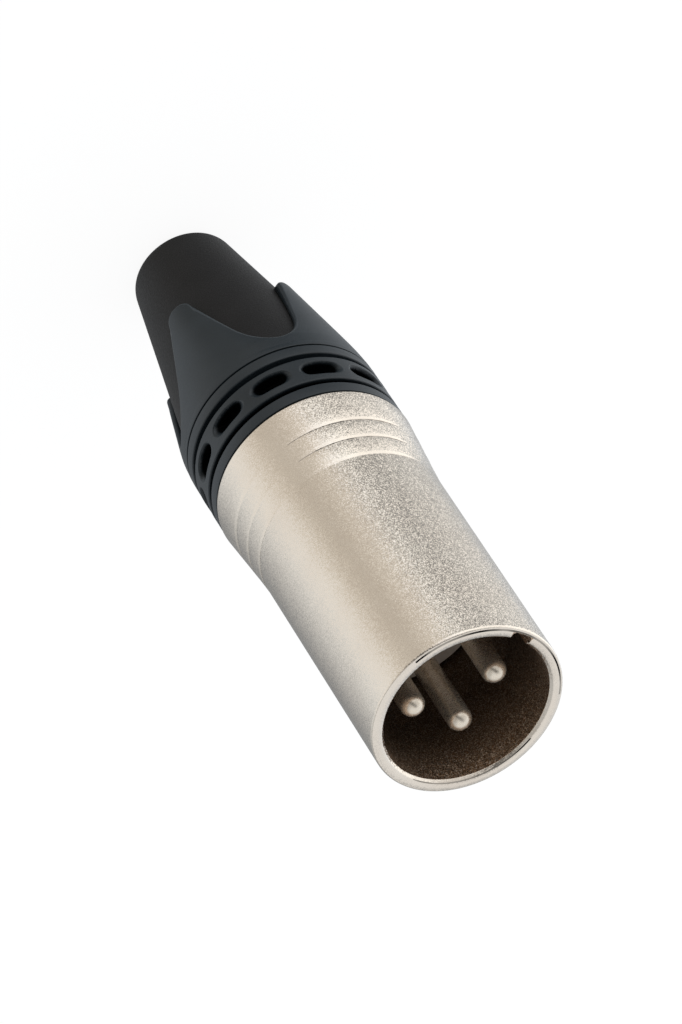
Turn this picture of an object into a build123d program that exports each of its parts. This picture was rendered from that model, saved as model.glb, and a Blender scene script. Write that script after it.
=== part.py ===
from build123d import *
from math import cos, degrees, pi, radians, sin, sqrt
import os

# A three-pin male XLR cable plug, in millimetres.
# It stands on the flat end of its cable boot: the axis is Z, z = 0 is the cable end and the mouth is at the top.
# +Y points to the side of the latch recess. Pins 1 and 2 lie on the X axis and pin 3 on -Y.

# Lengths along the axis
grip_length = 28.95
ring_width = 5.70
seam_gap = 0.05

# Shell outside
shell_diameter = 19.0
rim_outer_round = 0.25
rim_inner_bevel = 0.30
step_count = 3
step_pitch = 2.45
last_step_height = 4.10
step_ledge = 0.03
step_flare = 0.17
step_flare_length = 2.20
shell_end_flare = 0.18
shell_end_round = 0.15

# Shell inside
mouth_wall = 1.3
mouth_depth = 14.2
seat_step = 0.25
thread_bore_step = 0.17
thread_bore_spare = 0.9
keyway_width = 2.2
keyway_wall = 0.4
keyway_round = 0.5
keyway_angle = 44.0
latch_depth = 8.0
latch_length = 3.2
latch_width = 4.2
latch_wall = 0.6
latch_round = 0.4
seat_key_width = 2.0
seat_key_length = 2.0
seat_key_height = 0.9
seat_key_angle = -90.0

# Contact pins
pin_diameter = 2.4
pin_circle_diameter = 8.2
pin_angles = {"pin_1": 180.0, "pin_2": 0.0, "pin_3": -90.0}
pin_tip_depth = 2.4
pin_tip_flat = 0.2
pin_collar_diameter = 2.8
cup_diameter = 3.1
cup_bore_diameter = 2.2
cup_length = 6.0
cup_bore_depth = 4.6
cup_scoop_length = 3.6

# Contact carrier
insert_front_length = 2.8
insert_flange_length = 3.0
insert_tail_length = 7.0
insert_tail_step = 0.55
insert_face_bevel = 0.3
insert_to_neck = 2.2

# Earth contact: a bent strip in the top slot of the contact carrier
strip_width = 2.6
strip_thickness = 0.3
strip_slot_depth = 0.6
strip_tag_length = 1.4
strip_tag_hole = 1.0
strip_bow_flat = 0.8
strip_bow_rise = 1.1
strip_tip_gap = 0.2

# Collet that grips the cable
chuck_ring_length = 3.0
chuck_ring_bore = 10.4
jaw_straight_length = 3.6
jaw_taper = 1.6
jaw_bore = 8.2
jaw_grip_length = 8.6
jaw_throat_bevel = 1.0
jaw_count = 4
jaw_slot_width = 1.2
tooth_count = 4
tooth_depth = 0.45
tongue_angles = (-45.0, -135.0)
tongue_width = 3.0
tongue_length = 6.6
tongue_step = 0.3
tongue_thickness = 1.1

# Bushing: threaded neck, flange and petals
neck_length = 6.5
neck_wall = 1.24
groove_b_width = 0.75
groove_b_depth = 0.78
flange_width = 1.45
flange_setback = 0.10
line_c_width = 0.20
line_c_depth = 0.15
skirt_length = 2.1
skirt_taper = 0.19
skirt_wall = 0.36
petal_length = 12.3
petal_angle = 33.3
petal_count = 4
petal_taper = 0.136
petal_arc_share = 0.4825
petal_tip_width = 3.1
petal_tip_round = 1.3
petal_waist_width = 8.0
petal_waist_drop = 4.0
valley_rise = 0.3
web_length = 1.6
web_drop = 0.75
web_lip = 0.3

# Coding ring
ring_setback = 0.07
front_band_width = 1.55
groove_a_width = 0.75
groove_a_depth = 0.76
ring_edge_round = 0.15
pocket_count = 12
pocket_angle = 8.3
pocket_length = 4.1
pocket_height = 2.1
pocket_depth = 1.3
pocket_round = 0.8
pocket_scoop_radius = 2.6

# Soft boot
boot_end_diameter = 10.5
boot_wall = 1.35
boot_end_round = 1.0

# Clearances, and how far a cutter runs past the face it leaves
overrun = 1.0
running_gap = 0.08
press_gap = 0.02
slide_gap = 0.10
stop_gap = 0.20
skin_gap = 0.03

# Radii worked out from the sizes
shell_radius = shell_diameter / 2
shell_end_radius = shell_radius + step_count * (step_ledge + step_flare) + shell_end_flare
mouth_radius = shell_radius - mouth_wall
seat_radius = mouth_radius + seat_step
thread_bore_radius = seat_radius + thread_bore_step
keyway_floor_radius = shell_radius - keyway_wall
latch_floor_radius = shell_radius - latch_wall
insert_front_radius = mouth_radius - running_gap
insert_flange_radius = seat_radius - running_gap
insert_tail_radius = seat_radius - insert_tail_step
strip_slot_floor = insert_tail_radius - strip_slot_depth
pin_radius = pin_diameter / 2
pin_collar_radius = pin_collar_diameter / 2
pin_ring_radius = pin_circle_diameter / 2
cup_radius = cup_diameter / 2
neck_radius = thread_bore_radius - running_gap
neck_bore_radius = neck_radius - neck_wall
chuck_radius = neck_bore_radius - slide_gap
jaw_tip_radius = chuck_radius - jaw_taper
web_bore_radius = jaw_tip_radius - web_lip
tongue_outer_radius = insert_tail_radius - tongue_step
tongue_inner_radius = tongue_outer_radius - tongue_thickness
ring_radius = shell_end_radius - ring_setback
groove_a_radius = ring_radius - groove_a_depth
flange_radius = shell_end_radius - flange_setback
groove_b_radius = flange_radius - groove_b_depth
skirt_end_radius = flange_radius - skirt_taper
petal_tip_radius = skirt_end_radius - petal_taper * petal_length
petal_arc_radius = petal_arc_share * petal_tip_radius
boot_end_radius = boot_end_diameter / 2
boot_front_radius = skirt_end_radius - skirt_wall - skin_gap
boot_bore_radius = boot_end_radius - boot_wall

# Heights worked out from the sizes
ring_bottom = grip_length
ring_top = ring_bottom + ring_width
shell_bottom = ring_top + seam_gap
neck_top = shell_bottom + neck_length
thread_bore_top = neck_top + thread_bore_spare
insert_bottom = neck_top + insert_to_neck
flange_z = insert_bottom + insert_tail_length
seat_z = flange_z + insert_flange_length
face_z = seat_z + insert_front_length
rim = face_z + mouth_depth
cup_top = insert_bottom + cup_length
chuck_top = insert_bottom - stop_gap
jaw_top = chuck_top - chuck_ring_length
cone_top = jaw_top - jaw_straight_length
web_top = ring_bottom - web_drop
jaw_bottom = web_top
web_bottom = web_top - web_length
boot_front = web_bottom - skin_gap
flange_top = ring_bottom - seam_gap - groove_b_width
line_c_top = flange_top - flange_width
skirt_top = line_c_top - line_c_width
skirt_bottom = skirt_top - skirt_length
petal_tip = skirt_bottom - petal_length
valley_top = skirt_bottom + valley_rise


def turned(points):
    """A solid of revolution from its half section, given as (radius, height) points."""
    outline = Polyline(*points, close=True)
    return revolve(Plane.XZ * make_face(outline), Axis.Z)


def rod(radius, bottom, top):
    """A solid cylinder on the axis."""
    return Pos(0, 0, bottom) * extrude(Circle(radius), top - bottom)


def block(inner, outer, width, bottom, top, angle):
    """A radial block from one radius to another, turned to its angle."""
    size = (outer - inner, width, top - bottom)
    centre = Pos((inner + outer) / 2, 0, (bottom + top) / 2)
    return Rot(0, 0, angle) * centre * Box(*size)


def slot_cut(inner, outer, width, corner, bottom, top, angle):
    """A radial block whose upright outer corners are rounded."""
    body = block(inner, outer, width, bottom, top, 0)
    uprights = body.edges().filter_by(Axis.Z).group_by(Axis.X)[-1]
    return Rot(0, 0, angle) * fillet(uprights, corner)


def circles(part, radius, height, reach=0.02):
    """The circular edges of a part at one radius and height, centred on the axis."""
    found = []
    for edge in part.edges().filter_by(GeomType.CIRCLE):
        centre = edge.arc_center
        on_axis = abs(centre.X) < reach and abs(centre.Y) < reach
        if on_axis and abs(centre.Z - height) < reach and abs(edge.radius - radius) < reach:
            found.append(edge)
    return found


def make_shell():
    """The die-cast housing: mouth at the top, three ripple steps, thread bore at the bottom."""
    outside = [(shell_radius, rim)]
    radius = shell_radius
    for number in range(step_count):
        start = shell_bottom + last_step_height + (step_count - 1 - number) * step_pitch
        outside.append((radius, start))
        radius += step_ledge
        outside.append((radius, start - step_ledge))
        radius += step_flare
        outside.append((radius, start - step_flare_length))
    outside.append((shell_end_radius, shell_bottom))
    inside = [
        (thread_bore_radius, shell_bottom),
        (thread_bore_radius, thread_bore_top),
        (seat_radius, thread_bore_top),
        (seat_radius, seat_z),
        (mouth_radius, seat_z),
        (mouth_radius, rim - rim_inner_bevel),
        (mouth_radius + rim_inner_bevel, rim),
    ]
    body = turned(outside + inside)
    body = fillet(circles(body, shell_radius, rim), rim_outer_round)
    body = fillet(circles(body, shell_end_radius, shell_bottom), shell_end_round)
    inner = mouth_radius - overrun
    keyway = slot_cut(
        inner, keyway_floor_radius, keyway_width, keyway_round, face_z, rim + overrun, keyway_angle)
    latch_top = rim - latch_depth
    latch = slot_cut(
        inner, latch_floor_radius, latch_width, latch_round, latch_top - latch_length, latch_top, 90)
    key = block(
        seat_radius - seat_key_height, seat_radius + seat_step, seat_key_width,
        seat_z - seat_key_length, seat_z, seat_key_angle)
    return body - keyway - latch + key


def make_insert():
    """The contact carrier: front disc, flange and rear body with wells for the solder cups."""
    body = turned([
        (0, face_z),
        (insert_front_radius - insert_face_bevel, face_z),
        (insert_front_radius, face_z - insert_face_bevel),
        (insert_front_radius, seat_z),
        (insert_flange_radius, seat_z),
        (insert_flange_radius, flange_z),
        (insert_tail_radius, flange_z),
        (insert_tail_radius, insert_bottom),
        (0, insert_bottom),
    ])
    for angle in pin_angles.values():
        place = Rot(0, 0, angle) * Pos(pin_ring_radius, 0, 0)
        hole = place * rod(pin_collar_radius + press_gap, insert_bottom, face_z + overrun)
        well = place * rod(cup_radius + press_gap, insert_bottom - overrun, cup_top)
        mouth = block(
            pin_ring_radius, insert_tail_radius + overrun, 2 * (cup_radius + press_gap),
            insert_bottom - overrun, insert_bottom + cup_scoop_length, angle)
        body -= hole + well + mouth
    for angle in tongue_angles:
        body -= block(
            tongue_inner_radius - slide_gap, insert_tail_radius + overrun, tongue_width + 2 * slide_gap,
            insert_bottom - overrun, flange_z, angle)
    body -= block(
        strip_slot_floor, insert_flange_radius + overrun, strip_width + 2 * slide_gap,
        insert_bottom - overrun, seat_z, 90)
    key_slot = block(
        seat_radius - seat_key_height - slide_gap, insert_flange_radius + overrun,
        seat_key_width + 2 * slide_gap, flange_z - overrun, seat_z, seat_key_angle)
    return body - key_slot


def make_pin(angle):
    """A turned contact: domed tip, straight shaft, collar inside the carrier and a scooped solder cup."""
    tip = rim - pin_tip_depth
    shaft = rod(pin_radius, cup_top, tip)
    shaft = fillet(circles(shaft, pin_radius, tip), pin_radius - pin_tip_flat)
    collar = rod(pin_collar_radius, cup_top, face_z)
    cup = rod(cup_radius, insert_bottom, cup_top)
    cup -= rod(cup_bore_diameter / 2, insert_bottom - overrun, insert_bottom + cup_bore_depth)
    scoop = Pos(cup_radius, 0, insert_bottom) * Box(2 * cup_radius, 2 * cup_diameter, 2 * cup_scoop_length)
    return Rot(0, 0, angle) * Pos(pin_ring_radius, 0, 0) * (shaft + collar + cup - scoop)


def make_ground_contact():
    """A bent strip whose bow touches the shell's bore, with a solder tag behind the contact carrier."""
    floor = strip_slot_floor + press_gap
    bow = sqrt((seat_radius - press_gap) ** 2 - (strip_width / 2) ** 2) - strip_thickness
    middle = (seat_z + flange_z) / 2
    under = [
        (floor, insert_bottom - strip_tag_length),
        (floor, middle - strip_bow_flat / 2 - 2 * strip_bow_rise),
        (bow, middle - strip_bow_flat / 2),
        (bow, middle + strip_bow_flat / 2),
        (floor, seat_z - strip_tip_gap),
    ]
    over = [(radius + strip_thickness, height) for radius, height in reversed(under)]
    outline = Plane.YZ * make_face(Polyline(*under, *over, close=True))
    strip = extrude(outline, strip_width / 2, both=True)
    hole_z = insert_bottom - strip_tag_length / 2
    hole = Pos(0, floor, hole_z) * Rot(90, 0, 0) * Cylinder(strip_tag_hole / 2, 4 * strip_thickness)
    return strip - hole


def make_chuck():
    """The collet: a ring with two tongues, and jaws with an outer cone and inner teeth."""
    grip_top = jaw_bottom + jaw_grip_length
    body = turned([
        (chuck_ring_bore / 2, chuck_top),
        (chuck_radius, chuck_top),
        (chuck_radius, cone_top),
        (jaw_tip_radius, jaw_bottom),
        (jaw_bore / 2, jaw_bottom),
        (jaw_bore / 2, grip_top),
        (chuck_ring_bore / 2, grip_top + jaw_throat_bevel),
    ])
    tooth_pitch = jaw_grip_length / (tooth_count + 1)
    for number in range(tooth_count):
        height = jaw_bottom + (number + 1) * tooth_pitch
        body -= turned([
            (jaw_bore / 2 - slide_gap, height - tooth_pitch / 3),
            (jaw_bore / 2 + tooth_depth, height + tooth_pitch / 3),
            (jaw_bore / 2 - slide_gap, height + tooth_pitch / 3),
        ])
    for number in range(jaw_count):
        angle = 360 / jaw_count * number
        body -= block(0, chuck_radius + overrun, jaw_slot_width, jaw_bottom - overrun, jaw_top, angle)
    for angle in tongue_angles:
        body += block(
            tongue_inner_radius, tongue_outer_radius, tongue_width,
            chuck_top, chuck_top + tongue_length, angle)
    return body


def petal_section(height, radius, arc_radius):
    """A closed outline of equal arcs, one for each petal, with its corners at the valleys."""
    centre = radius - arc_radius
    half = radians(180 / petal_count)
    corner = centre * cos(half) + sqrt(arc_radius ** 2 - (centre * sin(half)) ** 2)
    arcs = []
    for number in range(petal_count):
        crest = petal_angle + 360 / petal_count * number
        start, end = crest - degrees(half), crest + degrees(half)
        points = [(corner, start), (radius, crest), (corner, end)]
        places = [(r * cos(radians(a)), r * sin(radians(a))) for r, a in points]
        arcs.append(ThreePointArc(*places))
    return Pos(0, 0, height) * make_face(Wire(arcs))


def petal_prism(angle):
    """One petal's outline, extruded from the axis outwards along its crest."""
    valley_x = skirt_end_radius * sin(pi / petal_count)
    waist = (petal_waist_width / 2, skirt_bottom - petal_waist_drop)
    tip_side = (petal_tip_width / 2, petal_tip + petal_tip_round)
    flank = (tip_side[0] - waist[0], tip_side[1] - waist[1])
    right = Spline((valley_x, valley_top), waist, tangents=[(-1, 0), flank])
    edges = [right, Line(waist, tip_side)]
    tip = ThreePointArc(tip_side, (0, petal_tip), (-tip_side[0], tip_side[1]))
    left = [mirror(edge, Plane.YZ) for edge in edges]
    roof = Polyline((valley_x, valley_top), (valley_x, ring_bottom), (-valley_x, ring_bottom), (-valley_x, valley_top))
    face = make_face(edges + [tip] + left + [roof])
    plane = Plane(origin=(0, 0, 0), x_dir=(0, 1, 0), z_dir=(1, 0, 0))
    return Rot(0, 0, angle) * extrude(plane * face, 2 * flange_radius)


def make_bushing():
    """The hard sleeve: threaded neck, flange and four petals round the boot."""
    body = turned([
        (0, neck_top),
        (neck_radius, neck_top),
        (neck_radius, ring_bottom - seam_gap),
        (groove_b_radius, ring_bottom - seam_gap),
        (groove_b_radius, flange_top),
        (flange_radius, flange_top),
        (flange_radius, line_c_top),
        (flange_radius - line_c_depth, line_c_top),
        (flange_radius - line_c_depth, skirt_top),
        (flange_radius, skirt_top),
        (skirt_end_radius, skirt_bottom),
        (0, skirt_bottom),
    ])
    top = petal_section(skirt_bottom, skirt_end_radius, skirt_end_radius)
    bottom = petal_section(petal_tip, petal_tip_radius, petal_arc_radius)
    body += loft([top, bottom], ruled=True)
    waste = rod(2 * flange_radius, petal_tip - overrun, valley_top)
    for number in range(petal_count):
        waste -= petal_prism(petal_angle + 360 / petal_count * number)
    body -= waste
    body -= turned([
        (0, neck_top + overrun),
        (neck_bore_radius, neck_top + overrun),
        (neck_bore_radius, cone_top - stop_gap),
        (jaw_tip_radius + slide_gap, jaw_bottom - stop_gap),
        (web_bore_radius, jaw_bottom - stop_gap),
        (web_bore_radius, web_bottom),
        (0, web_bottom),
    ])
    slope = (boot_front_radius - boot_end_radius) / boot_front
    end = petal_tip - overrun
    end_radius = boot_end_radius + slope * end + skin_gap
    body -= turned([
        (0, web_bottom),
        (boot_front_radius + skin_gap, web_bottom),
        (end_radius, end),
        (0, end),
    ])
    return body


def make_coding_ring():
    """The ring behind the shell: a plain front band, a groove and a band of oval pockets."""
    inner = neck_radius + running_gap
    band_bottom = ring_top - front_band_width
    pocket_top = band_bottom - groove_a_width
    body = turned([
        (inner, ring_top),
        (ring_radius, ring_top),
        (ring_radius, band_bottom),
        (groove_a_radius, band_bottom),
        (groove_a_radius, pocket_top),
        (ring_radius, pocket_top),
        (ring_radius, ring_bottom),
        (inner, ring_bottom),
    ])
    for height in (band_bottom, pocket_top, ring_bottom):
        body = fillet(circles(body, ring_radius, height), ring_edge_round)
    middle = (pocket_top + ring_bottom) / 2
    floor = ring_radius - pocket_depth
    shape = RectangleRounded(pocket_length, pocket_height, pocket_round)
    plane = Plane(origin=(floor, 0, middle), x_dir=(0, 1, 0), z_dir=(1, 0, 0))
    scoop = Pos(floor + pocket_scoop_radius, 0, 0) * rod(pocket_scoop_radius, ring_bottom, ring_top)
    pocket = extrude(plane * shape, pocket_depth + overrun) & scoop
    for number in range(pocket_count):
        body -= Rot(0, 0, pocket_angle + 360 / pocket_count * number) * pocket
    return body


def make_boot():
    """The soft cable boot: a cone with a through bore, its front end inside the petals."""
    body = turned([
        (boot_bore_radius, boot_front),
        (boot_front_radius, boot_front),
        (boot_end_radius, 0),
        (boot_bore_radius, 0),
    ])
    return fillet(circles(body, boot_end_radius, 0), boot_end_round)


parts = {
    "shell": make_shell(),
    "insert": make_insert(),
    "ground_contact": make_ground_contact(),
    "chuck": make_chuck(),
    "bushing": make_bushing(),
    "coding_ring": make_coding_ring(),
    "boot": make_boot(),
}
for name, angle in pin_angles.items():
    parts[name] = make_pin(angle)

os.makedirs("parts", exist_ok=True)
for name, part in parts.items():
    export_step(part, f"parts/{name}.step")
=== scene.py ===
from math import cos, pi, radians, sin

import bpy
import numpy as np
from mathutils import Matrix, Vector


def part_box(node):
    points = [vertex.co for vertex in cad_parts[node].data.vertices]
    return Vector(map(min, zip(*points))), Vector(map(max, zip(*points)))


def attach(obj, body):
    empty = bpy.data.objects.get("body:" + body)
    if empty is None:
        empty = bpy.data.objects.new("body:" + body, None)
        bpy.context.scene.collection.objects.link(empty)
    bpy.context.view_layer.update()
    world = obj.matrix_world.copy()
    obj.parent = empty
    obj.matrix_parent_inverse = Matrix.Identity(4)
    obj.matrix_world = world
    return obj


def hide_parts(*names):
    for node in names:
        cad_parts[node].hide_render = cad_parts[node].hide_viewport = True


# A three-pin male cable plug, standing on its boot with the mouth up.
# Profiles are written in millimetres in the row frame; the meshes are made in metres.

MM = 0.001
COLUMNS = 600

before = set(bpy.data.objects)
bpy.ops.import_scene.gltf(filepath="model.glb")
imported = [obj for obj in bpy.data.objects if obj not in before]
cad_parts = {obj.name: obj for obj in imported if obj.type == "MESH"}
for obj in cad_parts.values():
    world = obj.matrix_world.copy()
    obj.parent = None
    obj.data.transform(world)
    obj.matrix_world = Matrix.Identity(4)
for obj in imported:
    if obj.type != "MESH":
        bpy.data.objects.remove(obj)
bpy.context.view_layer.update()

# Levels taken from the frame, in millimetres
shell_low, shell_high = [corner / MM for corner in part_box("shell")]
ring_low, ring_high = [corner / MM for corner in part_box("coding_ring")]
bushing_low, bushing_high = [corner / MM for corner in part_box("bushing")]
boot_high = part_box("boot")[1] / MM
insert_low, insert_high = [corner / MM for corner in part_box("insert")]
pin_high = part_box("pin_2")[1] / MM
rim = shell_high.z
shell_bottom = shell_low.z
face_z = insert_high.z
cup_low = insert_low.z
ring_bottom = ring_low.z
ring_top = ring_high.z
ring_radius = ring_high.x
neck_top = bushing_high.z
petal_tip = bushing_low.z
boot_front = boot_high.z

# Small distances for comparing sizes and for rows set close together
hair = 0.001
row_gap = 0.02
wall_margin = 0.1

# Shell
shell_radius = 9.5
shell_end_radius = shell_high.x
shell_end_round = 0.15
mouth_radius = 8.2
seat_radius = 8.45
seat_drop = 17.0
thread_bore_radius = 8.62
thread_bore_drop = 28.3
thread_bore_round = 0.2
# The mouth's wall is painted darker down to this depth, as painted shade
bore_shade_drop = 9.0

# Grip steps: small ledges that flare out, in groups round the shell with a plain cone between
step_drops = (26.7, 29.15, 31.6)
step_ledge = 0.03
step_flare = 0.17
step_flare_length = 2.2
step_flare_parts = 5
step_flare_power = 1.6
step_line = 0.05
step_group_count = 4
step_group_angle = 73.3
step_group_half = radians(38.0)
step_group_fade = radians(16.0)
faint_step = 0.1
sharp_line_from = radians(1.0)
sharp_line_to = radians(24.0)
cone_start_drop = 27.0
cone_bend = 0.8
cone_lead = 3.0
plain_end = 0.25

# Rim of the mouth, with thin lines of painted shade along its creases
rim_outer_round = 0.25
rim_round_start = shell_radius - rim_outer_round
rim_corner_cut = rim_outer_round / 3
rim_corner_round = 0.1
rim_inner_bevel = 0.3
rim_bevel_round = 0.05
# Widths of the rim's lines of painted shade, and where round the rim they lie
rim_line = 0.17
rim_line_fall = rim_line / 3
rim_line_angle = 49.0
rim_line_half = radians(66.0)
bevel_line = rim_line / 2
bevel_line_angle = -95.0
bevel_line_half = radians(44.0)

# Keyway and latch recess, both cut into the mouth's wall
keyway_angle = 44.0
keyway_half_width = 1.1
keyway_depth = 0.9
keyway_round = 0.5
keyway_corner_columns = 8
keyway_side_columns = (0.015, 0.05)
latch_angle = 90.0
latch_half_width = 2.1
latch_side_inward = 0.15
latch_side_outward = 0.05
latch_depth = 0.7
latch_drop = 8.0
latch_length = 3.2
latch_edge = 0.12
latch_top = rim - latch_drop
latch_low = latch_top - latch_length
latch_margin = 0.3
latch_row_spacing = 0.12

# Coding ring
ring_bore_radius = thread_bore_radius
ring_bore_round = 0.1
seam_width = 0.15
seam_depth = 0.32
seam_root_round = 0.03
seam_lip_round = 0.08
front_band_width = 1.55
front_groove_width = 0.62
groove_depth = 0.78
groove_root_round = 0.05
groove_lip_round = 0.16
pocket_top = ring_top - front_band_width - front_groove_width
pocket_count = 12
pocket_angle = 8.3
pocket_half_length = 2.2
pocket_half_height = 1.05
pocket_round = 0.8
pocket_depth = 1.4
pocket_lip = 0.06
pocket_wall = 0.16
pocket_ramp = 1.5
pocket_end = 1.5
pocket_end_depth = 0.1
pocket_taper = 0.35
pocket_row_spacing = 0.06
pocket_row_margin = 0.1

# Bushing: flange with the rear groove and a thin line above the petals
flange_radius = 10.18
rear_groove_top = ring_bottom - 0.05
rear_groove_bottom = ring_bottom - 0.70
thin_line_top = ring_bottom - 1.98
thin_line_bottom = ring_bottom - 2.19
thin_line_depth = 0.25
thin_line_lip_round = 0.08
thin_line_root_round = 0.02
thin_line_end_round = 0.06
thin_line_setback = 0.01
petal_top = thin_line_bottom - 0.6
petal_top_setback = 0.03

# Bushing: neck with its thread, whose crest and flank are shares of the pitch, and the inside
neck_radius = 8.54
neck_bore_radius = 7.3
neck_chamfer = 0.1
neck_step = 0.3
thread_pitch = 1.5
thread_depth = 0.42
thread_root = neck_radius - thread_depth
thread_start = 0.15
thread_low = ring_bottom + 5.9
thread_row_spacing = 0.13
thread_crest_half = 0.125
thread_flank = 0.25
thread_start_fade = (0.1, 0.9)
thread_end_fade = (0.2, 1.2)
web_low = 26.6
web_bore_radius = 5.3
chuck_seat_top = 36.4
chuck_seat_low = 28.0
chuck_seat_radius = 5.7

# Bushing: petals
petal_crest = 33.3
petal_count = 4
petal_slope = 0.143
skirt_bend = 25.3
skirt_bend_width = 1.0
valley_z = 24.7
valley_power = 2.2
waist_z = 20.4
waist_half_width = 4.0
tip_half_width = 1.55
tip_round = 1.3
tip_power = 0.9
tip_overlap = 0.4
tip_arc_radius = 4.0
petal_edge_round = 0.28
petal_rows = 44
petal_first_row = 0.02
petal_edge_rows = 5
# Rows of the rounded edge that take a painted highlight
petal_highlight_faces = 2
petal_inner_rows = 14
outline_samples = 400

# Boot
boot_end_radius = 5.25
boot_front_radius = 9.6
boot_front_round = 0.1
boot_bore_radius = 3.9
boot_bore_round = 0.3
boot_end_round = 1.0
boot_columns = 360
skin_gap = 0.12

# Contact pins
pin_radius = 1.2
pin_collar_radius = 1.4
pin_ring_radius = 4.1
pin_angles = {"pin_1": 180.0, "pin_2": 0.0, "pin_3": -90.0}
pin_half_columns = 37
pin_side_gap = 0.004
dome_height = pin_radius * 0.92
dome_rows = 16
dome_flat = 0.02
cup_radius = 1.55
cup_bore_radius = 1.1
cup_centre_radius = 0.02
cup_top = cup_low + 6.0
cup_bore_end = cup_low + 4.6
scoop_top = cup_low + 3.6
scoop_slant = 0.1

# Places of the shell's and the bushing's materials on their meshes
# The bore and the three lines carry painted shade
PLATE, SHADED_BORE, RIM_SHADE, STEP_SHADE, SHARP_SHADE = range(5)
# The bushing's faces with the painted highlight
PETAL_EDGE_HIGHLIGHT = 1


def ring_angles(count=COLUMNS):
    """The angles of a grid's columns, in radians."""
    return np.arange(count) * 2 * pi / count


def turn_from(angles, middle, count=1):
    """Signed angle in radians from the nearest of so many even directions, the first in degrees."""
    pitch = 2 * pi / count
    return (angles - radians(middle) + pitch / 2) % pitch - pitch / 2


def step_up(value, start, end):
    """0 before start, 1 after end and smooth in between."""
    t = np.clip((value - start) / (end - start), 0, 1)
    return t * t * (3 - 2 * t)


def soft_bend(value, width, slope):
    """Flat below zero and rising with a slope above it, with a soft bend between."""
    return slope * width * np.log1p(np.exp(value / width))


def rounded(corners, segments=4):
    """A closed half section from (radius, height, rounding) corners, each rounded by a curve."""
    most_of_side = 0.48
    points = []
    count = len(corners)
    for i, (r, z, size) in enumerate(corners):
        here = np.array((r, z), float)
        if size == 0:
            points.append(here)
            continue
        before = np.array(corners[i - 1][:2], float) - here
        after = np.array(corners[(i + 1) % count][:2], float) - here
        reach_before = min(size, most_of_side * np.linalg.norm(before))
        reach_after = min(size, most_of_side * np.linalg.norm(after))
        start = here + before / np.linalg.norm(before) * reach_before
        end = here + after / np.linalg.norm(after) * reach_after
        for t in np.linspace(0, 1, segments + 1):
            points.append((1 - t) ** 2 * start + 2 * t * (1 - t) * here + t ** 2 * end)
    return np.array(points)


def even_rows(points, spacing, low, high):
    """The section with extra points between heights low and high, about a spacing apart."""
    out = []
    for i, here in enumerate(points):
        out.append(here)
        after = points[(i + 1) % len(points)]
        lowest, highest = sorted((here[1], after[1]))
        if lowest >= low - hair and highest <= high + hair:
            parts = int(np.linalg.norm(after - here) / spacing)
            for t in np.arange(1, parts) / max(parts, 1):
                out.append(here + (after - here) * t)
    return np.array(out)


def spread(section, angles):
    """The radius and the height of a half section at every angle, as rows by columns."""
    radius = np.repeat(section[:, :1], len(angles), axis=1)
    height = np.repeat(section[:, 1:], len(angles), axis=1)
    return radius, height


def grid_mesh(name, radius, height, angles, centre=(0.0, 0.0), closed=True):
    """A mesh from rows of rings: radius and height are arrays of rows by columns, in millimetres."""
    rows, columns = radius.shape
    x = centre[0] + radius * np.cos(angles)[None, :]
    y = centre[1] + radius * np.sin(angles)[None, :]
    points = np.stack([x, y, height], axis=-1).reshape(-1, 3) * MM
    spans = rows if closed else rows - 1
    k = np.repeat(np.arange(spans), columns)
    j = np.tile(np.arange(columns), spans)
    k_next = (k + 1) % rows
    j_next = (j + 1) % columns
    corners = [k * columns + j, k_next * columns + j, k_next * columns + j_next, k * columns + j_next]
    quads = np.stack(corners, axis=-1)
    loops = quads.ravel()
    starts = np.arange(len(quads)) * 4
    if not closed:
        # Flat ends close the first and the last ring
        first = np.arange(columns)
        last = rows * columns - 1 - first
        loops = np.concatenate([loops, first, last])
        starts = np.append(starts, [quads.size, quads.size + columns])
    mesh = bpy.data.meshes.new(name)
    mesh.vertices.add(len(points))
    mesh.vertices.foreach_set("co", points.astype(np.float32).ravel())
    mesh.loops.add(len(loops))
    mesh.loops.foreach_set("vertex_index", loops.astype(np.int32))
    mesh.polygons.add(len(starts))
    mesh.polygons.foreach_set("loop_start", starts.astype(np.int32))
    mesh.polygons.foreach_set("use_smooth", np.ones(len(starts), bool))
    mesh.update(calc_edges=True)
    mesh.validate()
    obj = bpy.data.objects.new(name, mesh)
    bpy.context.scene.collection.objects.link(obj)
    weighted = obj.modifiers.new("normals", "WEIGHTED_NORMAL")
    weighted.keep_sharp = True
    return obj


def dress(obj, body, slot, *nodes):
    """The piece rides on its body and stands for its CAD nodes; the slot is not used."""
    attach(obj, body)
    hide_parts(*nodes)


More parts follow.
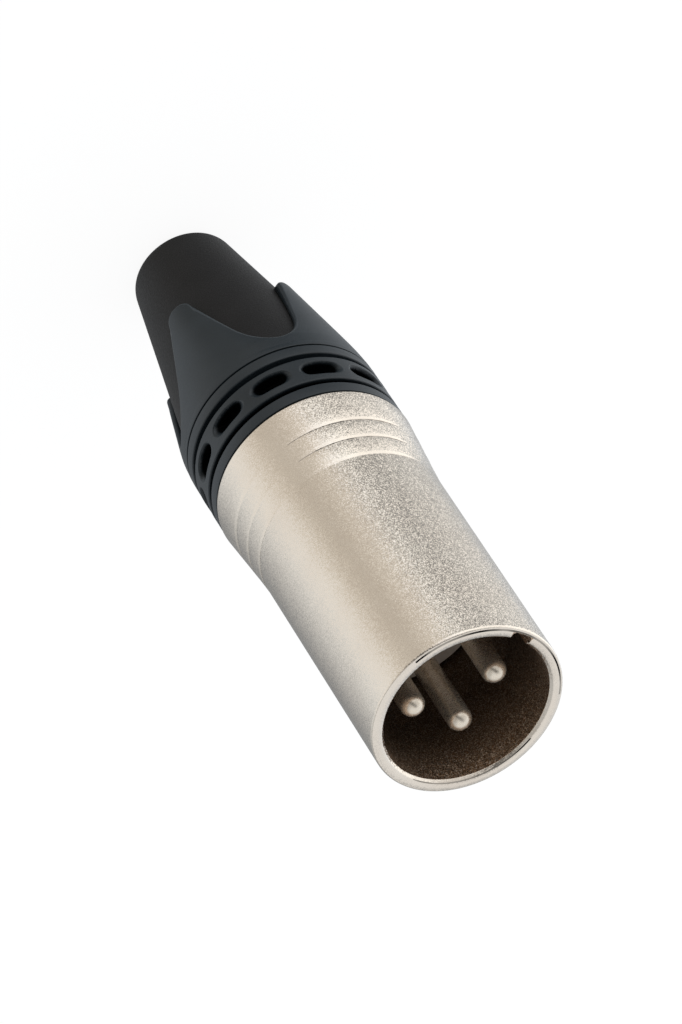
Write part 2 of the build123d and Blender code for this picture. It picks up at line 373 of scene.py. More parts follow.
def shell_section():
    """The shell's half section: the rim, the outside with full steps, the end and the bore."""
    corners = [
        (mouth_radius + rim_inner_bevel, rim, 0),
        (rim_round_start - rim_line, rim, 0),
        (rim_round_start, rim - rim_line_fall, 0),
        (shell_radius - rim_corner_cut, rim - rim_corner_cut, rim_corner_round),
        (shell_radius, rim - rim_outer_round, rim_corner_round),
    ]
    radius = shell_radius
    for drop in step_drops:
        start = rim - drop
        if radius > shell_radius:
            corners.append((radius, start + step_line, 0))
        corners.append((radius, start, 0))
        radius += step_ledge
        corners.append((radius, start - step_ledge, 0))
        for part in range(1, step_flare_parts + 1):
            t = part / step_flare_parts
            flared = radius + step_flare * (1 - (1 - t) ** step_flare_power)
            corners.append((flared, start - step_flare_length * t, 0))
        radius += step_flare
    corners += [
        (shell_end_radius, shell_bottom, shell_end_round),
        (thread_bore_radius, shell_bottom, thread_bore_round),
        (thread_bore_radius, rim - thread_bore_drop, 0),
        (seat_radius, rim - thread_bore_drop, 0),
        (seat_radius, rim - seat_drop, 0),
        (mouth_radius, rim - seat_drop, 0),
        (mouth_radius, face_z - row_gap, 0),
        (mouth_radius, face_z + row_gap, 0),
        (mouth_radius, latch_low - latch_margin, 0),
        (mouth_radius, latch_top + latch_margin, 0),
        (mouth_radius, rim - rim_inner_bevel, rim_bevel_round),
        (mouth_radius + rim_inner_bevel - bevel_line, rim - bevel_line, 0),
    ]
    section = rounded(corners, segments=5)
    return even_rows(section, latch_row_spacing, latch_low - latch_margin, latch_top + latch_margin)


def shell_angles():
    """Even columns, with more of them at the keyway's two corners."""
    corner = keyway_half_width - np.linspace(0, keyway_round, keyway_corner_columns)
    beside = keyway_half_width + np.array(keyway_side_columns)
    sides = np.concatenate([corner, beside]) / mouth_radius
    middle = radians(keyway_angle)
    return np.sort(np.concatenate([ring_angles(), middle + sides, middle - sides]))


def step_share(angles):
    """How far the steps stand out at each angle: 1 within a group, and 0 between the groups."""
    off = np.abs(turn_from(angles, step_group_angle, step_group_count))
    return 1 - step_up(off, step_group_half - step_group_fade, step_group_half)


def fade_steps(radius, height, angles):
    """The shell's radius with its steps fading into a plain cone between the groups."""
    drop = rim - height
    slope = (shell_end_radius - shell_radius) / (rim - shell_bottom - cone_start_drop)
    cone = shell_radius + soft_bend(drop - cone_start_drop, cone_bend, slope)
    outside = radius > shell_radius - wall_margin
    grip = outside & (height > shell_bottom + plain_end) & (drop > cone_start_drop - cone_lead)
    return np.where(grip, cone + (radius - cone) * step_share(angles), radius)


def keyway_radius(angles):
    """The radius of the keyway's floor and rounded corners, and the mouth's radius elsewhere."""
    reach = np.abs(turn_from(angles, keyway_angle)) * mouth_radius
    corner = np.clip(reach - keyway_half_width + keyway_round, 0, keyway_round)
    groove = keyway_depth - keyway_round + np.sqrt(keyway_round ** 2 - corner ** 2)
    return mouth_radius + np.where(reach < keyway_half_width + hair, groove, 0)


def latch_recess(height, angles):
    """The depth of the latch recess, a shallow window in the mouth's wall."""
    side = np.abs(turn_from(angles, latch_angle)) * mouth_radius
    across = 1 - step_up(side, latch_half_width - latch_side_inward, latch_half_width + latch_side_outward)
    above_low = step_up(height, latch_low, latch_low + latch_edge)
    below_top = 1 - step_up(height, latch_top - latch_edge, latch_top)
    return latch_depth * across * (above_low * below_top)


def shell_faces(section, angles, notched):
    """The material of each face: the bore takes a darker copy of the plate, and the thin lines at the rim
    and the steps take dark nickel, both as painted shade.
    """
    r, z = ((section + np.roll(section, -1, axis=0)) / 2).T
    in_mouth = r < mouth_radius + rim_inner_bevel
    on_bevel = in_mouth & (z > rim - bevel_line)
    on_round = (r > rim_round_start - rim_line) & (r < rim_round_start) & (z > rim - rim_line)
    kind = np.where(in_mouth & (z < rim - rim_inner_bevel), SHADED_BORE, PLATE)
    kind = np.where(on_bevel | on_round, RIM_SHADE, kind)
    for drop in step_drops[1:]:
        under = rim - drop - z
        on_ledge = (under > -step_line) & (under < step_ledge) & (r > shell_radius)
        kind = np.where(on_ledge, STEP_SHADE, kind)
    kind = np.repeat(kind[:, None], len(angles), axis=1)
    # The keyway's faces take the bore's painted shade too
    kind = np.where(notched, SHADED_BORE, kind)

    # Only the first group of steps has lines of painted shade, and a stretch of them is sharper
    off = turn_from(angles, step_group_angle)
    sharp = (off > sharp_line_from) & (off < sharp_line_to)
    plain = (step_share(angles) < faint_step) | (np.abs(off) >= pi / step_group_count)
    kind = np.where((kind == STEP_SHADE) & sharp, SHARP_SHADE, kind)
    kind = np.where((kind == STEP_SHADE) & plain, PLATE, kind)

    # The rim's two lines of painted shade run only part of the way round
    past_round = np.abs(turn_from(angles, rim_line_angle)) > rim_line_half
    past_bevel = np.abs(turn_from(angles, bevel_line_angle)) > bevel_line_half
    kind = np.where(on_round[:, None] & past_round, PLATE, kind)
    return np.where(on_bevel[:, None] & past_bevel, PLATE, kind)


def make_shell():
    """The shell, with its grip steps, keyway, latch recess and the material of each face."""
    section = shell_section()
    angles = shell_angles()
    radius, height = spread(section, angles)
    radius = fade_steps(radius, height, angles)
    inside = (radius < mouth_radius + rim_inner_bevel + wall_margin) & (height > face_z)
    keyway = np.where(inside, keyway_radius(angles), 0)
    notched = keyway > radius + hair
    radius = np.maximum(radius, keyway) + np.where(inside, latch_recess(height, angles), 0)
    shell = grid_mesh("shell_body", radius, height, angles)
    faces = shell_faces(section, angles, notched)
    shell.data.polygons.foreach_set("material_index", faces.astype(np.int32).ravel())
    return shell


def pocket_cut(along, up):
    """The pockets' depth: rounded rectangles, scooped along the ring and deepest on the cable side."""
    over_x = np.maximum(along - pocket_half_length + pocket_round, 0)
    half_height = pocket_half_height * (1 - pocket_taper * (along / pocket_half_length) ** 2)
    over_y = np.maximum(np.abs(up) - half_height + pocket_round, 0)
    outside = np.sqrt(over_x ** 2 + over_y ** 2) - pocket_round
    wall = pocket_depth * step_up(-outside, -pocket_lip, pocket_wall)
    scoop = step_up(pocket_half_length - along, 0, pocket_end)
    ramp = step_up(pocket_half_height - up, 0, pocket_ramp)
    return wall * ramp * (pocket_end_depth + (1 - pocket_end_depth) * scoop)


def make_ring():
    """The coding ring, with the seam at the shell, a groove and its pockets."""
    band_low = ring_top - front_band_width
    groove_floor = ring_radius - groove_depth
    seam_floor = ring_radius - seam_depth
    corners = [
        (ring_bore_radius, ring_top, ring_bore_round),
        (seam_floor, ring_top, 0),
        (seam_floor, ring_top - seam_width, seam_root_round),
        (ring_radius, ring_top - seam_width, seam_lip_round),
        (ring_radius, band_low, groove_lip_round),
        (groove_floor, band_low, groove_root_round),
        (groove_floor, pocket_top, groove_root_round),
        (ring_radius, pocket_top, groove_lip_round),
        (ring_radius, ring_bottom, groove_lip_round),
        (ring_bore_radius, ring_bottom, ring_bore_round),
    ]
    pocket_rows = (ring_bottom + pocket_row_margin, pocket_top - pocket_row_margin)
    section = even_rows(rounded(corners), pocket_row_spacing, *pocket_rows)
    angles = ring_angles()
    radius, height = spread(section, angles)
    along = np.abs(turn_from(angles, pocket_angle, pocket_count)) * ring_radius
    cut = pocket_cut(along, height - (pocket_top + ring_bottom) / 2)
    on_band = radius > ring_radius - 2 * wall_margin
    return grid_mesh("coding_ring_body", radius - np.where(on_band, cut, 0), height, angles)


def crest_radius(z):
    """The petals' outer radius along their crests: a straight taper below a soft bend."""
    return flange_radius - soft_bend(skirt_bend - z, skirt_bend_width, petal_slope)


def petal_radius(off, z):
    """The outer radius at an angle off a crest: round at the skirt, more sharply curved at the tip."""
    crest = crest_radius(z)
    down = np.clip((valley_z - z) / (valley_z - petal_tip), 0, 1)
    arc = crest * (1 - down) + tip_arc_radius * down
    centre = crest - arc
    return centre * np.cos(off) + np.sqrt(arc ** 2 - (centre * np.sin(off)) ** 2)


def petal_outline(off):
    """The height of the petals' lower edge at an angle off a crest."""
    z = np.linspace(petal_tip, valley_z, outline_samples)
    widest = sin(pi / petal_count)
    valley_half = crest_radius(valley_z) * widest
    tip = z - petal_tip
    lean = (waist_half_width - tip_half_width) / (waist_z - petal_tip - tip_round)
    flank = tip_half_width + lean * (tip - tip_round)
    nose = tip_half_width * np.sqrt(np.clip(1 - (1 - tip / tip_round) ** 2, 0, 1)) ** tip_power
    half = np.where(tip < tip_round, np.minimum(nose, flank + tip_overlap), flank)
    rise = np.clip((z - waist_z) / (valley_z - waist_z), 0, 1)
    bulge = valley_half - waist_half_width - lean * (valley_z - waist_z)
    half = half + bulge * (1 - np.sqrt(np.clip(1 - rise ** valley_power, 0, 1)))
    angle = np.arcsin(np.clip(half / crest_radius(z), 0, widest))
    angle = np.maximum.accumulate(angle)
    return np.interp(np.abs(off), angle, z)


def neck_rows(angles):
    """The threaded neck, from its top edge down to the ring's seat."""
    rows = [(neck_bore_radius, neck_top), (thread_root - neck_chamfer, neck_top)]
    for z in np.arange(neck_top - thread_start, thread_low, -thread_row_spacing):
        turn = (z / thread_pitch - angles / (2 * pi)) % 1
        ridge = 1 - np.clip((np.abs(turn - 0.5) - thread_crest_half) / thread_flank, 0, 1)
        fade = step_up(neck_top - z, *thread_start_fade) * step_up(z - thread_low, *thread_end_fade)
        rows.append((thread_root + thread_depth * ridge * fade, z))
    rows.append((thread_root, thread_low))
    rows.append((neck_radius, thread_low - neck_step))
    rows.append((neck_radius, rear_groove_top + row_gap))
    return rows


def flange_rows():
    """The rear groove, the flange and the thin line above the petals."""
    groove_floor = flange_radius - groove_depth
    line_floor = flange_radius - thin_line_depth
    lines = rounded([
        (neck_radius, rear_groove_top, 0),
        (groove_floor, rear_groove_top, groove_root_round),
        (groove_floor, rear_groove_bottom, groove_root_round),
        (flange_radius, rear_groove_bottom, groove_lip_round),
        (flange_radius, thin_line_top, thin_line_lip_round),
        (line_floor, thin_line_top, thin_line_root_round),
        (line_floor, thin_line_bottom, thin_line_root_round),
        (flange_radius - thin_line_setback, thin_line_bottom, thin_line_end_round),
        (flange_radius - petal_top_setback, petal_top, 0),
    ])
    return [(r, z) for r, z in lines[1:]]


def petal_skin(off, low):
    """The petals' outside: each column runs down to where the rounded edge starts."""
    rows = []
    for t in np.linspace(petal_first_row, 1, petal_rows):
        z = petal_top + (low - petal_top) * t
        rows.append((petal_radius(off, z), z))
    return rows


def petal_edge(off, low, lip):
    """The petals' rounded lower edge, turning in."""
    rows = []
    for turn in np.linspace(0, pi / 2, petal_edge_rows + 1)[1:]:
        z = low - lip * np.sin(turn)
        rows.append((petal_radius(off, z) - petal_edge_round * (1 - np.cos(turn)), z))
    return rows


def bushing_inside(edge):
    """The petals' inside along the boot, then the web, the collet's seat and back to the neck's bore."""
    boot_slope = (boot_front_radius - boot_end_radius) / boot_front
    rows = []
    for t in np.linspace(0, 1, petal_inner_rows):
        z = edge + (web_low - edge) * t
        rows.append((boot_end_radius + boot_slope * z + skin_gap, z))
    rows.append((web_bore_radius, web_low))
    rows.append((web_bore_radius, chuck_seat_low))
    rows.append((chuck_seat_radius, chuck_seat_low))
    rows.append((neck_bore_radius, chuck_seat_top))
    return rows


def make_bushing():
    """The bushing: rows of rings from the neck down to the petals' edge and back up inside."""
    angles = ring_angles()
    off = turn_from(angles, petal_crest, petal_count)
    edge = petal_outline(off)
    slope = np.gradient(edge, angles) / crest_radius(edge)
    lip = petal_edge_round * np.sqrt(1 + slope ** 2)
    low = edge + lip
    rows = neck_rows(angles) + flange_rows() + petal_skin(off, low)
    edge_start = len(rows) - 1
    rows += petal_edge(off, low, lip) + bushing_inside(edge)
    radius = np.array([np.broadcast_to(r, angles.shape) for r, z in rows])
    height = np.array([np.broadcast_to(z, angles.shape) for r, z in rows])
    bushing = grid_mesh("bushing_body", radius, height, angles)
    faces = np.zeros(radius.shape, np.int32)
    # The first faces round the petals' edge take a painted highlight
    faces[edge_start:edge_start + petal_highlight_faces] = PETAL_EDGE_HIGHLIGHT
    bushing.data.polygons.foreach_set("material_index", faces.ravel())
    return bushing


def make_boot():
    """The boot: a plain tapered tube with a round end."""
    section = rounded([
        (boot_bore_radius, boot_front, 0),
        (boot_front_radius, boot_front, boot_front_round),
        (boot_end_radius, 0, boot_end_round),
        (boot_bore_radius, 0, boot_bore_round),
    ], segments=10)
    angles = ring_angles(boot_columns)
    radius, height = spread(section, angles)
    return grid_mesh("boot_body", radius, height, angles)


def make_pin(name, angle):
    """A contact pin with a domed tip, a collar and a solder cup, at an angle in degrees."""
    # Each row has a radius, a height, and a height on the outer side, where the solder cup is cut open
    outline = []
    for t in np.linspace(dome_flat, pi / 2, dome_rows):
        z = pin_high.z - dome_height * (1 - cos(t))
        outline.append((pin_radius * sin(t), z, z))
    outline += [
        (pin_radius, face_z, face_z),
        (pin_collar_radius, face_z, face_z),
        (pin_collar_radius, cup_top, cup_top),
        (cup_radius, cup_top, cup_top),
        (cup_radius, scoop_top, scoop_top + scoop_slant),
        (cup_radius, cup_low, scoop_top),
        (cup_bore_radius, cup_low, scoop_top),
        (cup_bore_radius, scoop_top, scoop_top + scoop_slant),
        (cup_bore_radius, cup_bore_end, cup_bore_end),
        (cup_centre_radius, cup_bore_end, cup_bore_end),
    ]
    section = np.array(outline)
    quarter = pi / 2 - pin_side_gap
    half = np.linspace(-quarter, quarter, pin_half_columns)
    around = np.concatenate([half, pi + half])
    outward = np.arange(len(around)) < pin_half_columns
    radius = np.repeat(section[:, :1], len(around), axis=1)
    height = np.where(outward[None, :], section[:, 2:], section[:, 1:2])
    place = radians(angle)
    centre = (pin_ring_radius * cos(place), pin_ring_radius * sin(place))
    return grid_mesh(name + "_contact", radius, height, around + place, centre, closed=False)


# Most of a noise's values lie between the first two
noise_low = 0.3
noise_high = 0.7
grain_roughness = 0.06
# Painted shade in recesses: how dark colour and gloss go, and between which depths on the ring
recess_shade_level = 0.04
recess_shade_gloss = 0.5
ring_shade_depths = (0.08, 0.50)


def feed(tree, value, socket):
    """Give a socket its value: a link from another socket, or a constant of its own."""
    if isinstance(value, bpy.types.NodeSocket):
        tree.links.new(value, socket)
    else:
        socket.default_value = value


def map_range(tree, value, start, end, low=0.0, high=1.0, curve="SMOOTHSTEP"):
    """Low up to start, high beyond end and a change along the curve between."""
    node = tree.nodes.new("ShaderNodeMapRange")
    node.interpolation_type = curve
    node.inputs["From Min"].default_value = start
    node.inputs["From Max"].default_value = end
    node.inputs["To Min"].default_value = low
    node.inputs["To Max"].default_value = high
    tree.links.new(value, node.inputs["Value"])
    return node.outputs["Result"]


def mix(tree, first, second, factor=1.0, blend="MIX"):
    """Two colours blended by a factor."""
    node = tree.nodes.new("ShaderNodeMix")
    node.data_type = "RGBA"
    node.blend_type = blend
    feed(tree, first, node.inputs["A"])
    feed(tree, second, node.inputs["B"])
    feed(tree, factor, node.inputs["Factor"])
    return node.outputs["Result"]


def number_math(tree, operation, *values):
    """Arithmetic on numbers."""
    node = tree.nodes.new("ShaderNodeMath")
    node.operation = operation
    for value, socket in zip(values, node.inputs):
        feed(tree, value, socket)
    return node.outputs["Value"]


def vector_math(tree, operation, *values):
    """Arithmetic on vectors, which gives a vector, or a number for a dot product or a length."""
    node = tree.nodes.new("ShaderNodeVectorMath")
    node.operation = operation
    for value, socket in zip(values, node.inputs):
        feed(tree, value, socket)
    return node.outputs["Value" if operation in ("DOT_PRODUCT", "LENGTH") else "Vector"]


def material(name, color, metallic, roughness):
    """A named material with its node tree, its shader and its object coordinates."""
    made = bpy.data.materials.new(name)
    made.use_nodes = True
    tree = made.node_tree
    shader = tree.nodes["Principled BSDF"]
    shader.inputs["Base Color"].default_value = (*color, 1)
    shader.inputs["Metallic"].default_value = metallic
    shader.inputs["Roughness"].default_value = roughness
    place = tree.nodes.new("ShaderNodeTexCoord").outputs["Object"]
    return made, tree, shader, place


def cells(tree, place, size, finer=(1, 1, 1)):
    """Coordinates in which one unit is a size in millimetres, or finer by a factor along each axis."""
    scaled = tree.nodes.new("ShaderNodeMapping")
    scaled.inputs["Scale"].default_value = tuple(factor / (size * MM) for factor in finer)
    tree.links.new(place, scaled.inputs["Vector"])
    return scaled.outputs["Vector"]


def noise(tree, place, size, detail=2.0, finer=(1, 1, 1)):
    """Noise whose cells are about a size in millimetres, or finer along some axes."""
    node = tree.nodes.new("ShaderNodeTexNoise")
    node.inputs["Scale"].default_value = 1.0
    node.inputs["Detail"].default_value = detail
    tree.links.new(cells(tree, place, size, finer), node.inputs["Vector"])
    return node.outputs["Fac"]


def tint(tree, factor, low, high, start=noise_low, end=noise_high):
    """A ramp between two colours."""
    ramp = tree.nodes.new("ShaderNodeValToRGB")
    ramp.color_ramp.elements[0].position = start
    ramp.color_ramp.elements[0].color = (*low, 1)
    ramp.color_ramp.elements[1].position = end
    ramp.color_ramp.elements[1].color = (*high, 1)
    tree.links.new(factor, ramp.inputs["Fac"])
    return ramp.outputs["Color"]


def vary(tree, factor, low, high):
    """A number between low and high, following a noise."""
    return map_range(tree, factor, noise_low, noise_high, low, high, "LINEAR")


def bump(tree, shader, factor, depth):
    """Surface relief of a depth in millimetres."""
    node = tree.nodes.new("ShaderNodeBump")
    node.inputs["Strength"].default_value = 1.0
    node.inputs["Distance"].default_value = depth * MM
    tree.links.new(factor, node.inputs["Height"])
    tree.links.new(node.outputs["Normal"], shader.inputs["Normal"])


def flakes(tree, shader, place, size, tilt):
    """Facets of a size in millimetres, each tilted its own way by up to half the tilt."""
    facets = tree.nodes.new("ShaderNodeTexVoronoi")
    facets.inputs["Scale"].default_value = 1.0
    tree.links.new(cells(tree, place, size), facets.inputs["Vector"])
    lean = vector_math(tree, "MULTIPLY_ADD", facets.outputs["Color"], (tilt,) * 3, (-tilt / 2,) * 3)
    surface = tree.nodes.new("ShaderNodeNewGeometry").outputs["Normal"]
    leaning = vector_math(tree, "ADD", surface, lean)
    tree.links.new(vector_math(tree, "NORMALIZE", leaning), shader.inputs["Normal"])


def nickel():
    """Blasted nickel plate: many small facets, with a faint cloud of tone."""
    made, tree, shader, place = material("nickel_plate", (0.74, 0.66, 0.57), metallic=1.0, roughness=0.2)
    cloud = noise(tree, place, size=6.0)
    color = tint(tree, cloud, low=(0.73, 0.655, 0.565), high=(0.76, 0.69, 0.60))
    tree.links.new(color, shader.inputs["Base Color"])
    grain = noise(tree, place, size=0.3)
    tree.links.new(vary(tree, grain, low=0.16, high=0.24), shader.inputs["Roughness"])
    flakes(tree, shader, place, size=0.07, tilt=0.23)
    return made


def shaded_line_nickel(name, low, high, patch):
    """Dark, dull and uneven nickel: painted shade for the thin lines in the creases at the rim and the
    steps.
    """
    made, tree, shader, place = material(name, high, metallic=1.0, roughness=0.5)
    grain = noise(tree, place, patch)
    tree.links.new(tint(tree, grain, low, high, start=0.4, end=0.6), shader.inputs["Base Color"])
    return made


def shaded_bore_nickel():
    """The mouth's wall: a darker, browner copy of the plate as painted shade, with bright flecks as painted
    glints, and more painted shade away from the open end.
    """
    made, tree, shader, place = material("nickel_bore_shaded", (0.30, 0.25, 0.20), metallic=1.0, roughness=0.42)
    grain = noise(tree, place, size=0.12)
    # Bright flecks in the colour are painted glints
    glint_specks = tint(tree, grain, low=(0.37, 0.235, 0.14), high=(1.0, 0.87, 0.74), start=0.48, end=0.66)
    split = tree.nodes.new("ShaderNodeSeparateXYZ")
    tree.links.new(place, split.inputs["Vector"])
    # Painted shade: the colour dims deeper in the mouth
    shade_end = (rim - bore_shade_drop) * MM
    dim = map_range(tree, split.outputs["Z"], start=shade_end, end=rim * MM, low=0.25)
    tree.links.new(mix(tree, glint_specks, dim, blend="MULTIPLY"), shader.inputs["Base Color"])
    flakes(tree, shader, place, size=0.12, tilt=0.5)
    return made


def contact_plate():
    """Silver plate with fine turning marks round the pin."""
    made, tree, shader, place = material("contact_plate", (0.77, 0.69, 0.58), metallic=0.82, roughness=0.28)
    turning = noise(tree, place, size=0.12, finer=(0.4, 0.4, 3.0))
    color = tint(tree, turning, low=(0.74, 0.65, 0.53), high=(0.84, 0.76, 0.65))
    tree.links.new(color, shader.inputs["Base Color"])
    tree.links.new(vary(tree, turning, low=0.23, high=0.31), shader.inputs["Roughness"])
    bump(tree, shader, turning, depth=0.003)
    return made


def bronze():
    """Bare bronze strip with streaks up its length from rolling."""
    made, tree, shader, place = material("spring_bronze", (0.70, 0.50, 0.30), metallic=1.0, roughness=0.3)
    streak = noise(tree, place, size=0.2, finer=(4.0, 1.0, 0.3))
    color = tint(tree, streak, low=(0.62, 0.43, 0.25), high=(0.76, 0.57, 0.36))
    tree.links.new(color, shader.inputs["Base Color"])
    bump(tree, shader, streak, depth=0.004)
    return made


def painted_recess_shade(tree, place, outer, start, end):
    """Painted shade for recesses: 1 near an outer radius and nearly 0 in its recesses, changing between two
    depths.
    """
    flat = vector_math(tree, "MULTIPLY", place, (1, 1, 0))
    reach = vector_math(tree, "LENGTH", flat)
    return map_range(tree, reach, (outer - end) * MM, (outer - start) * MM, low=recess_shade_level)


def moulded(name, low, high, roughness, grain_size, depth, ior=1.40, sheen=0.0, recess=()):
    """Moulded plastic or rubber: a fine spark-eroded grain, a slight change of tone, and painted shade in
    any recesses given.
    """
    made, tree, shader, place = material(name, high, metallic=0.0, roughness=roughness)
    shader.inputs["IOR"].default_value = ior
    shader.inputs["Sheen Weight"].default_value = sheen
    color = tint(tree, noise(tree, place, size=4.0), low, high)
    if recess:
        # Painted shade: colour and gloss both go dark in the recesses
        fade = painted_recess_shade(tree, place, *recess)
        color = mix(tree, color, fade, blend="MULTIPLY")
        gloss = number_math(tree, "MULTIPLY", fade, recess_shade_gloss)
        tree.links.new(gloss, shader.inputs["Specular IOR Level"])
    tree.links.new(color, shader.inputs["Base Color"])
    grain = noise(tree, place, grain_size, detail=3.0)
    uneven = vary(tree, grain, roughness - grain_roughness, roughness + grain_roughness)
    tree.links.new(uneven, shader.inputs["Roughness"])
    bump(tree, shader, grain, depth)
    return made


def slate(name, low=(0.008, 0.012, 0.015), high=(0.011, 0.016, 0.020), recess=()):
    """The blue-black plastic of the ring and the bushing."""
    return moulded(name, low, high, roughness=0.37, grain_size=0.09, depth=0.008, recess=recess)


metal = nickel()
# A darker copy of the plate for the mouth's wall: painted shade
shaded_bore_metal = shaded_bore_nickel()
# Dark nickel for the lines in the creases: painted shade
step_shade_metal = shaded_line_nickel("nickel_step_shade", (0.22, 0.19, 0.16), (0.46, 0.41, 0.36), patch=0.5)
sharp_shade_metal = shaded_line_nickel("nickel_sharp_shade", (0.02, 0.018, 0.016), (0.36, 0.32, 0.28), patch=0.35)
rim_shade_metal = shaded_line_nickel("nickel_rim_shade", (0.01, 0.009, 0.008), (0.42, 0.38, 0.33), patch=4.0)
plated = contact_plate()
# The ring's seam, groove and pockets take painted shade
ring_plastic = slate("ring_plastic", recess=(ring_radius, *ring_shade_depths))
bushing_plastic = slate("bushing_plastic")
rubber = moulded(
    "boot_rubber", (0.0020, 0.0018, 0.0018), (0.0036, 0.0033, 0.0033),
    roughness=0.58, grain_size=0.22, depth=0.03, ior=1.32, sheen=0.02,
)
# A lighter copy of the slate: a painted highlight along the petals' edge
edge_highlight_plastic = slate("edge_highlight_plastic", (0.024, 0.029, 0.034), (0.034, 0.040, 0.045))
carrier = moulded(
    "insert_plastic", (0.62, 0.54, 0.47), (0.70, 0.62, 0.54),
    roughness=0.38, grain_size=0.12, depth=0.005,
)
waxy = moulded(
    "chuck_plastic", (0.66, 0.64, 0.58), (0.74, 0.72, 0.66),
    roughness=0.42, grain_size=0.12, depth=0.004,
)
strip = bronze()

shell = make_shell()
for made in (metal, shaded_bore_metal, rim_shade_metal, step_shade_metal, sharp_shade_metal):
    shell.data.materials.append(made)
dress(shell, "shell", "nickel_plate", "shell")

ring = make_ring()
ring.data.materials.append(ring_plastic)
dress(ring, "bushing", "ring_plastic", "coding_ring")

bushing = make_bushing()
bushing.data.materials.append(bushing_plastic)
bushing.data.materials.append(edge_highlight_plastic)
dress(bushing, "bushing", "bushing_plastic", "bushing")

boot = make_boot()
boot.data.materials.append(rubber)
dress(boot, "bushing", "boot_rubber", "boot")

for name, angle in pin_angles.items():
    pin = make_pin(name, angle)
    pin.data.materials.append(plated)
    dress(pin, "shell", "contact_plate", name)

# The hidden pieces keep their CAD meshes
for name, made in {"insert": carrier, "chuck": waxy, "ground_contact": strip}.items():
    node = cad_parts[name]
    node.data.materials.clear()
    node.data.materials.append(made)


# Floor, in metres but for its drop under the plug
floor_half = 3.0
floor_drop = 0.02
floor_glow = 1.08
floor_white = (0.9, 0.9, 0.9, 1)
floor_matt_share = 0.16


def floor_white_paint():
    """White that mostly glows, with a little matt white that takes a faint shadow."""
    paint = bpy.data.materials.new("floor_white")
    paint.use_nodes = True
    tree = paint.node_tree
    tree.nodes.clear()
    out = tree.nodes.new("ShaderNodeOutputMaterial")
    share = tree.nodes.new("ShaderNodeMixShader")
    share.inputs["Fac"].default_value = floor_matt_share
    glow = tree.nodes.new("ShaderNodeEmission")
    glow.inputs["Strength"].default_value = floor_glow
    matt = tree.nodes.new("ShaderNodeBsdfDiffuse")
    matt.inputs["Color"].default_value = floor_white
    tree.links.new(glow.outputs["Emission"], share.inputs[1])
    tree.links.new(matt.outputs["BSDF"], share.inputs[2])
    tree.links.new(share.outputs["Shader"], out.inputs["Surface"])
    return paint


floor_mesh = bpy.data.meshes.new("floor")
floor_corners = [(x * floor_half, y * floor_half, 0) for x, y in ((-1, -1), (1, -1), (1, 1), (-1, 1))]
floor_mesh.from_pydata(floor_corners, [], [(0, 1, 2, 3)])
floor_mesh.materials.append(floor_white_paint())
floor = bpy.data.objects.new("floor", floor_mesh)
bpy.context.scene.collection.objects.link(floor)
floor.location.z = -floor_drop * MM
floor.visible_glossy = False
floor.visible_shadow = False

# Light levels of the studio by azimuth, in degrees from +X towards +Y, each with its tint
neutral = (1.0, 1.04, 1.08)
warm = (1.06, 1.0, 0.91)
studio_levels = {
    -180: (1.00, neutral), -155: (0.72, neutral), -130: (0.46, neutral), -105: (0.26, neutral),
    -80: (0.30, neutral), -55: (0.53, neutral), -30: (0.50, neutral), 5: (0.46, neutral),
    25: (0.34, neutral), 45: (0.22, neutral), 65: (0.42, neutral), 88: (0.79, warm),
    108: (0.60, warm), 127: (0.54, warm), 146: (0.82, warm), 165: (1.04, neutral), 180: (1.00, neutral),
}

# The strip lamp's levels; those above 1 widen its bright stretch, as the ramp's curve stops at white
cool = (0.92, 1.0, 1.14)
lamp_strength = 1.25
lamp_shape = {-180: 0, -95: 0, -70: 0.25, -45: 0.42, -20: 0.95, 5: 1.5, 45: 1.18, 75: 0.7, 100: 0, 180: 0}
lamp_levels = {azimuth: (level * lamp_strength, cool) for azimuth, level in lamp_shape.items()}

# The light changes between the two values of an edge; as a height, -1 is straight down
lamp_edge = (-0.70, -0.60)
dark_edge = (-1.0, -0.79)
dark_level = 0.30

# Overhead the studio evens out to a ceiling, with a colour for each side and dimmer towards a third
ceiling_edge = (0.1, 0.75)
ceiling_side_edge = (-0.3, 0.6)
ceiling_minus_y = (0.93, 0.95, 0.98, 1)
ceiling_plus_y = (0.66, 0.66, 0.66, 1)
ceiling_dim_way = (-0.910, 0.153, -0.386)
ceiling_dim_edge = (0.0, 0.7)
ceiling_dim_level = 0.35

# A dark bar lies across the sky in the plane of this normal, and fades out away from its own way
bar_normal = (0.831, 0.493, -0.257)
bar_edge = (0.08, 0.30)
bar_level = 0.15
bar_way = (-0.186, 0.681, 0.708)
bar_way_edge = (0.35, 0.75)


def compass_ramp(tree, turn, levels):
    """Tinted light levels round the compass, blended smoothly."""
    node = tree.nodes.new("ShaderNodeValToRGB")
    node.color_ramp.interpolation = "B_SPLINE"
    stops = node.color_ramp.elements
    stops.remove(stops[1])
    for azimuth, (level, cast) in levels.items():
        position = (azimuth + 180) / 360
        stop = stops[0] if position == 0 else stops.new(position)
        stop.position = position
        stop.color = (*(level * c for c in cast), 1)
    tree.links.new(turn, node.inputs["Fac"])
    return node.outputs["Color"]


def studio_walls(tree, x, y, z):
    """Soft bright and dim stretches by compass direction, a strip lamp, and darkness straight down."""
    turn = map_range(tree, number_math(tree, "ARCTAN2", y, x), -pi, pi, curve="LINEAR")
    walls = compass_ramp(tree, turn, studio_levels)
    lamp = compass_ramp(tree, turn, lamp_levels)
    lit = mix(tree, walls, lamp, map_range(tree, z, *lamp_edge), blend="ADD")
    return mix(tree, lit, map_range(tree, z, *dark_edge, low=dark_level), blend="MULTIPLY")


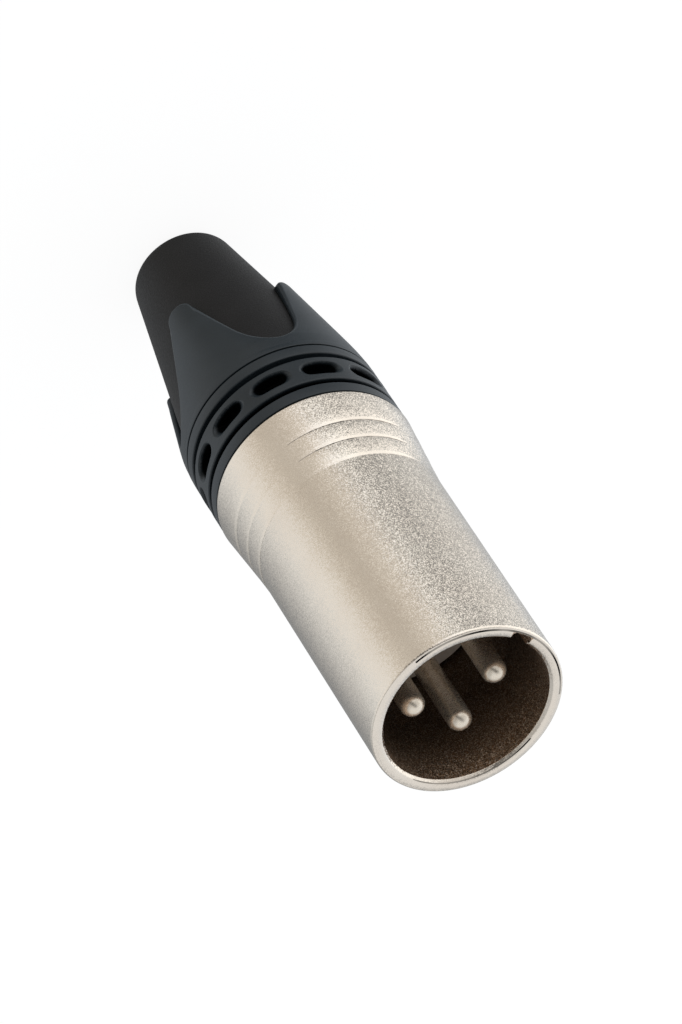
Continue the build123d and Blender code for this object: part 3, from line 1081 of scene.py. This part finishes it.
def studio_ceiling(tree, way, y):
    """A soft ceiling, dimmer to one side, which rounds off the pins' tips."""
    even = mix(tree, ceiling_minus_y, ceiling_plus_y, map_range(tree, y, *ceiling_side_edge))
    sideways = vector_math(tree, "DOT_PRODUCT", way, ceiling_dim_way)
    dim = map_range(tree, sideways, *ceiling_dim_edge, low=1.0, high=ceiling_dim_level)
    return mix(tree, even, dim, blend="MULTIPLY")


def cross_bar(tree, way, sky):
    """The sky with the dark bar across it."""
    from_bar = number_math(tree, "ABSOLUTE", vector_math(tree, "DOT_PRODUCT", way, bar_normal))
    beside = map_range(tree, from_bar, *bar_edge, low=bar_level)
    along = map_range(tree, vector_math(tree, "DOT_PRODUCT", way, bar_way), *bar_way_edge)
    return mix(tree, sky, beside, along, blend="MULTIPLY")


def make_studio():
    """White to the camera, and the shaped studio for everything else."""
    world = bpy.data.worlds.new("studio")
    world.use_nodes = True
    tree = world.node_tree
    tree.nodes.clear()
    out = tree.nodes.new("ShaderNodeOutputWorld")
    way = tree.nodes.new("ShaderNodeTexCoord").outputs["Generated"]
    split = tree.nodes.new("ShaderNodeSeparateXYZ")
    tree.links.new(way, split.inputs["Vector"])
    x, y, z = split.outputs["X"], split.outputs["Y"], split.outputs["Z"]
    walls = studio_walls(tree, x, y, z)
    ceiling = studio_ceiling(tree, way, y)
    sky = mix(tree, walls, ceiling, map_range(tree, z, *ceiling_edge))
    shaped = tree.nodes.new("ShaderNodeBackground")
    tree.links.new(cross_bar(tree, way, sky), shaped.inputs["Color"])
    white = tree.nodes.new("ShaderNodeBackground")
    white.inputs["Color"].default_value = (1, 1, 1, 1)
    path = tree.nodes.new("ShaderNodeLightPath")
    choose = tree.nodes.new("ShaderNodeMixShader")
    tree.links.new(path.outputs["Is Camera Ray"], choose.inputs["Fac"])
    tree.links.new(shaped.outputs["Background"], choose.inputs[1])
    tree.links.new(white.outputs["Background"], choose.inputs[2])
    tree.links.new(choose.outputs["Shader"], out.inputs["Surface"])
    return world


bpy.context.scene.world = make_studio()

# The camera stands where it was fitted to the photograph's outlines
camera_place = Vector((-99.9555, 366.1271, 421.0739)) * MM
camera_right = Vector((0.90969, -0.15292, 0.38611))
camera_up = Vector((0.37118, 0.71635, -0.59082))
camera_data = bpy.data.cameras.new("camera")
camera_data.sensor_width = 36.0
camera_data.lens = 200.52
camera_data.clip_start = 0.01
camera_data.clip_end = 20.0
camera = bpy.data.objects.new("camera", camera_data)
bpy.context.scene.collection.objects.link(camera)
turned = Matrix((camera_right, camera_up, camera_right.cross(camera_up))).transposed().to_4x4()
camera.matrix_world = Matrix.Translation(camera_place) @ turned
bpy.context.scene.camera = camera
bpy.context.scene.view_settings.view_transform = "Standard"
